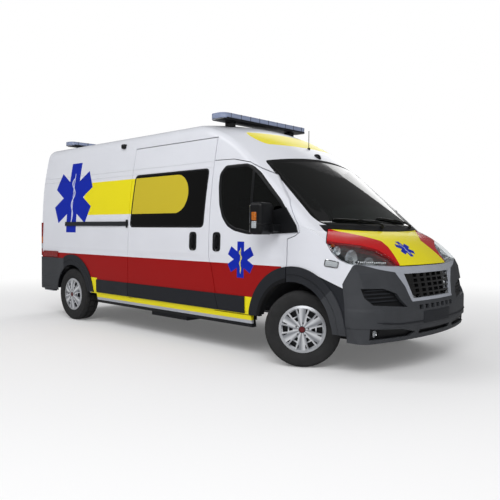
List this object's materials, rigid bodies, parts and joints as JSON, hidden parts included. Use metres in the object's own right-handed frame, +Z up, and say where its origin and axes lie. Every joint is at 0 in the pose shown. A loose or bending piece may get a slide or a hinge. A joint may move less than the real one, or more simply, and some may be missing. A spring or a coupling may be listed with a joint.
{
  "type": "ambulance",
  "caption": "Long high-roof van built as an ambulance, with hinged cab and rear doors, fixed side door, light bars on the roof, steered front wheels and a lifting bonnet",
  "frame": {"origin": "on the ground, midway between nose and tail and between the two sides", "axes": "X forward, Y to the vehicle's left, Z up"},
  "size_m": [5.998, 2.508, 2.63],
  "materials": {
    "white_paint": "glossy white body paint",
    "yellow_paint": "glossy yellow body paint",
    "silver_paint": "silver-grey paint",
    "dark_plastic": "grained dark grey plastic",
    "black_plastic": "plain black plastic",
    "clear_glass": "clear glass",
    "dark_glass": "dark tinted glass",
    "lamp_glass": "clear lamp cover",
    "red_lens": "red and amber lens",
    "blue_lens": "blue lens",
    "underbody_paint": "dark underbody coating",
    "chassis_steel": "black coated steel",
    "cast_metal": "cast metal",
    "seat_fabric": "woven seat cloth",
    "tyre": "black rubber tyre",
    "wheel_silver": "silver wheel and cover"
  },
  "bodies": {
    "body": {"roof": "white_paint", "side_panel_right": "white_paint", "side_panel_left": "white_paint", "sliding_door": "white_paint", "screen_pillars": "white_paint", "front_wings": "white_paint", "cowl": "dark_plastic", "side_windows": "dark_glass", "windscreen": "clear_glass", "headlamps": "lamp_glass", "front_bumper": "dark_plastic", "bumper_liners": "black_plastic", "grille_surround": "silver_paint", "grille": "black_plastic", "floor": "underbody_paint", "rear_wheel_houses": "underbody_paint", "front_bay": "underbody_paint", "partition": "white_paint", "rear_bumper": "dark_plastic", "body_trims": "dark_plastic", "tail_lamps": "red_lens", "side_step": "dark_plastic", "roof_fittings": "dark_plastic", "light_bars": "blue_lens", "seat_bases": "dark_plastic", "seats": "seat_fabric", "dashboard": "dark_plastic", "steering_wheel": "dark_plastic", "powertrain": "cast_metal", "fuel_tank": "black_plastic", "front_suspension": "chassis_steel", "rear_axle": "chassis_steel"},
    "front_door_right": {"front_door_right": "white_paint", "front_window_right": "clear_glass", "mirror_right": "dark_plastic"},
    "rear_door_right": {"rear_door_right": "white_paint", "rear_window_right": "dark_glass"},
    "knuckle_right": {"knuckle_right": "chassis_steel"},
    "wheel_front_right": {"tyre_front_right": "tyre", "rim_front_right": "wheel_silver"},
    "wheel_rear_right": {"tyre_rear_right": "tyre", "rim_rear_right": "wheel_silver"},
    "front_door_left": {"front_door_left": "white_paint", "front_window_left": "clear_glass", "mirror_left": "dark_plastic"},
    "rear_door_left": {"rear_door_left": "white_paint", "rear_window_left": "dark_glass"},
    "knuckle_left": {"knuckle_left": "chassis_steel"},
    "wheel_front_left": {"tyre_front_left": "tyre", "rim_front_left": "wheel_silver"},
    "wheel_rear_left": {"tyre_rear_left": "tyre", "rim_rear_left": "wheel_silver"},
    "bonnet": {"bonnet": "yellow_paint"}
  },
  "joints": [
    {"name": "steer_right", "type": "hinge", "parent": "body", "child": "knuckle_right", "pos_m": [2.051, -0.845, 0.36], "axis": [0, 0, 1], "range_deg": [-66, 0]},
    {"name": "spin_front_right", "type": "hinge", "parent": "knuckle_right", "child": "wheel_front_right", "pos_m": [2.08368, -0.89532, 0.36], "axis": [-0.5446, 0.8387, 0], "continuous": true},
    {"name": "spin_rear_right", "type": "hinge", "parent": "body", "child": "wheel_rear_right", "pos_m": [-1.984, -0.895, 0.36], "axis": [0, 1, 0], "continuous": true},
    {"name": "front_door_right", "type": "hinge", "parent": "body", "child": "front_door_right", "pos_m": [2.126, -1.015, 0.9], "axis": [0, 0, 1], "range_deg": [0, 70]},
    {"name": "rear_door_right", "type": "hinge", "parent": "body", "child": "rear_door_right", "pos_m": [-2.925, -0.81, 1.4], "axis": [0, 0, 1], "range_deg": [0, 180]},
    {"name": "steer_left", "type": "hinge", "parent": "body", "child": "knuckle_left", "pos_m": [2.051, 0.845, 0.36], "axis": [0, 0, 1], "range_deg": [-66, 0]},
    {"name": "spin_front_left", "type": "hinge", "parent": "knuckle_left", "child": "wheel_front_left", "pos_m": [2.01832, 0.89532, 0.36], "axis": [-0.5446, 0.8387, 0], "continuous": true},
    {"name": "spin_rear_left", "type": "hinge", "parent": "body", "child": "wheel_rear_left", "pos_m": [-1.984, 0.895, 0.36], "axis": [0, 1, 0], "continuous": true},
    {"name": "front_door_left", "type": "hinge", "parent": "body", "child": "front_door_left", "pos_m": [2.126, 1.015, 0.9], "axis": [0, 0, -1], "range_deg": [0, 70]},
    {"name": "rear_door_left", "type": "hinge", "parent": "body", "child": "rear_door_left", "pos_m": [-2.925, 0.81, 1.4], "axis": [0, 0, -1], "range_deg": [0, 180]},
    {"name": "bonnet", "type": "hinge", "parent": "body", "child": "bonnet", "pos_m": [2.255, 0, 1.285], "axis": [0, -1, 0], "range_deg": [0, 60]}
  ],
  "couplings": [
    {"joint": "steer_left", "follows": "steer_right", "ratio": 1}
  ]
}
